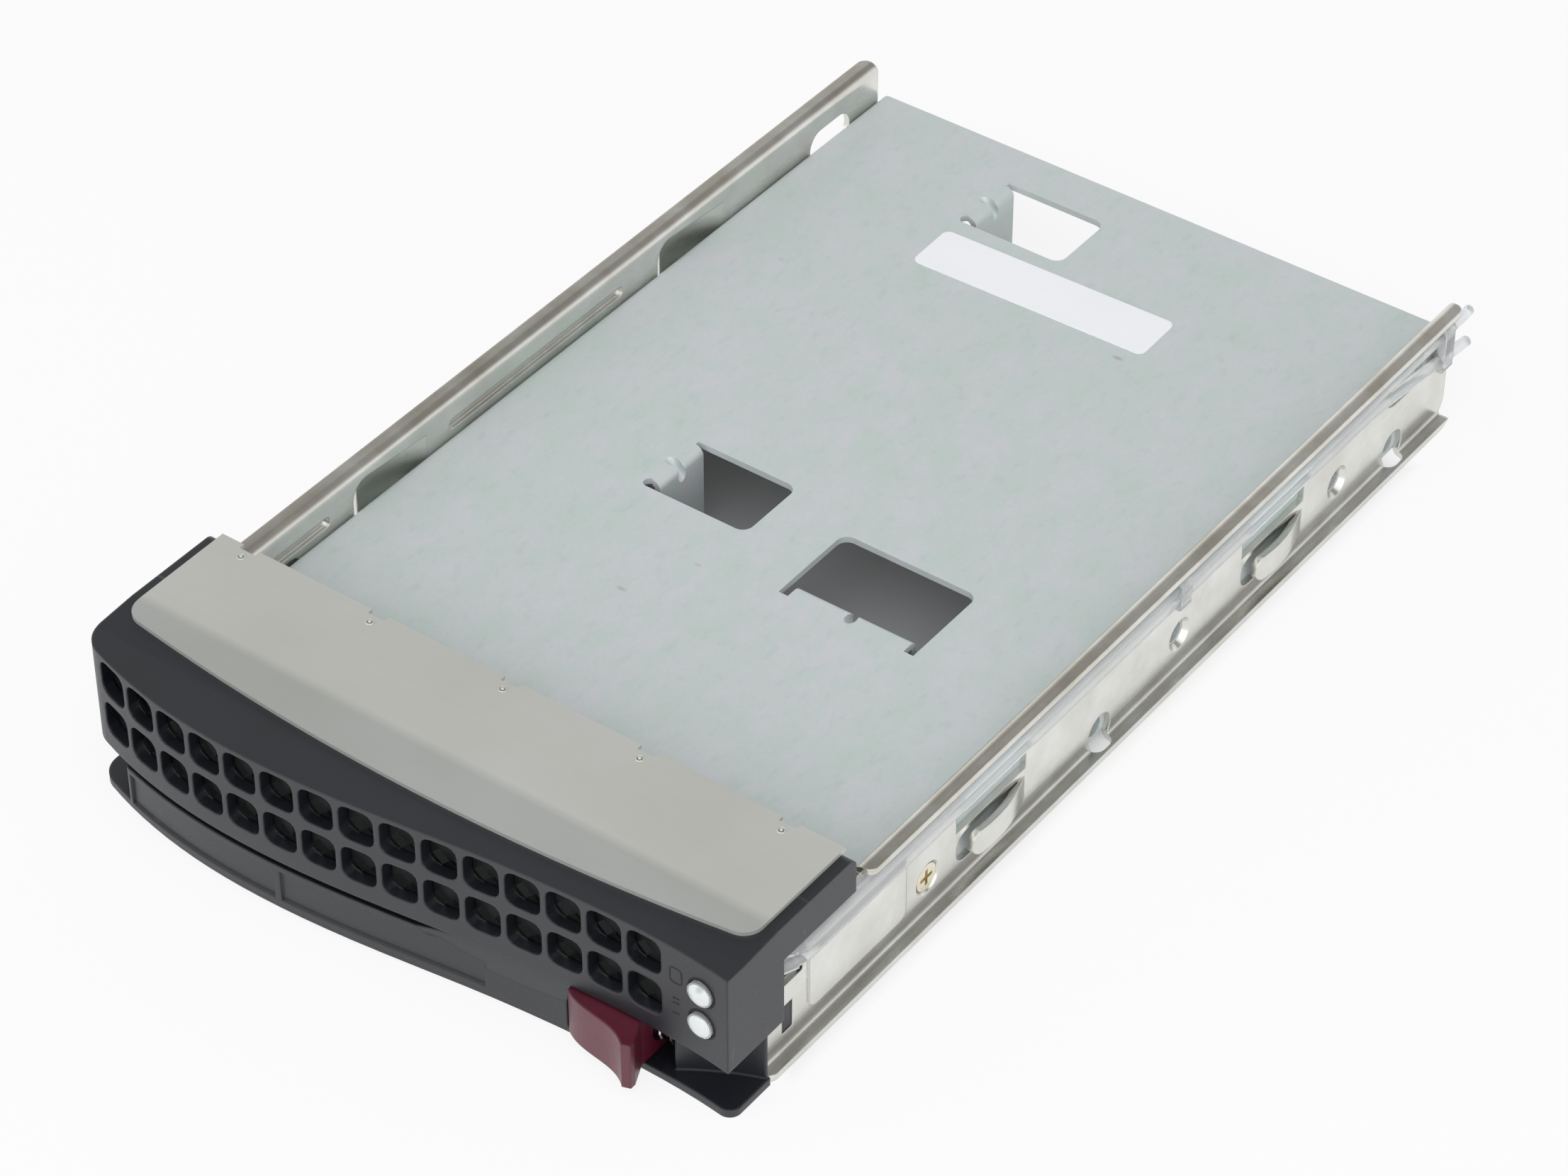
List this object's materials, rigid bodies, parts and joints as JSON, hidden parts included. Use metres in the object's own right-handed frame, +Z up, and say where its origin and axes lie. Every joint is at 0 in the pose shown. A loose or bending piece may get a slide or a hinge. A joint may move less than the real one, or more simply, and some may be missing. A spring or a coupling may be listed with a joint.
{
  "type": "drive tray adapter",
  "caption": "Hot-swap tray that carries a small drive in a larger bay: stamped rails, punched adapter plate, curved vented bezel with a swing lever and a sliding release button.",
  "frame": {"origin": "centre of the bounding box's bottom face, on the plane the rails and the bezel's lip stand on", "axes": "+Y from the bezel to the rear, +Z up, +X to the right for someone who faces the bezel"},
  "size_m": [0.1075, 0.1853, 0.0264],
  "materials": {
    "zinc_steel": "galvanised, mottled",
    "rail_steel": "satin",
    "satin_steel": "satin",
    "screen_steel": "dull",
    "bright_steel": "bright",
    "black_plastic": "fine matte",
    "burgundy_plastic": "satin",
    "clear_plastic": "clear",
    "brass_screw": "yellow zinc",
    "white_label": "paper"
  },
  "bodies": {
    "tray": {"adapter_plate": "zinc_steel", "left_rail": "rail_steel", "right_rail": "rail_steel", "front_bezel": "black_plastic", "shield_flap": "satin_steel", "vent_screen": "screen_steel", "lever_pin": "bright_steel", "lever_spring": "bright_steel", "button_spring": "bright_steel", "light_pipe_upper": "clear_plastic", "light_pipe_lower": "clear_plastic", "light_pipe_clip_mid": "clear_plastic", "light_pipe_clip_rear": "clear_plastic", "plate_screw_left": "brass_screw", "plate_screw_right": "brass_screw", "label": "white_label"},
    "lever": {"handle_lever": "black_plastic"},
    "button": {"release_button": "burgundy_plastic"}
  },
  "joints": [
    {"name": "handle_hinge", "type": "hinge", "parent": "tray", "child": "lever", "pos_m": [-0.0425, -0.084, 0.0048], "axis": [0, 0, -1], "range_deg": [0, 55]},
    {"name": "button_slide", "type": "slide", "parent": "tray", "child": "button", "axis": [1, 0, 0], "range_m": [0, 0.003], "stiffness_N_per_m": 300, "springref_m": -0.001, "deforming": ["button_spring"]}
  ]
}
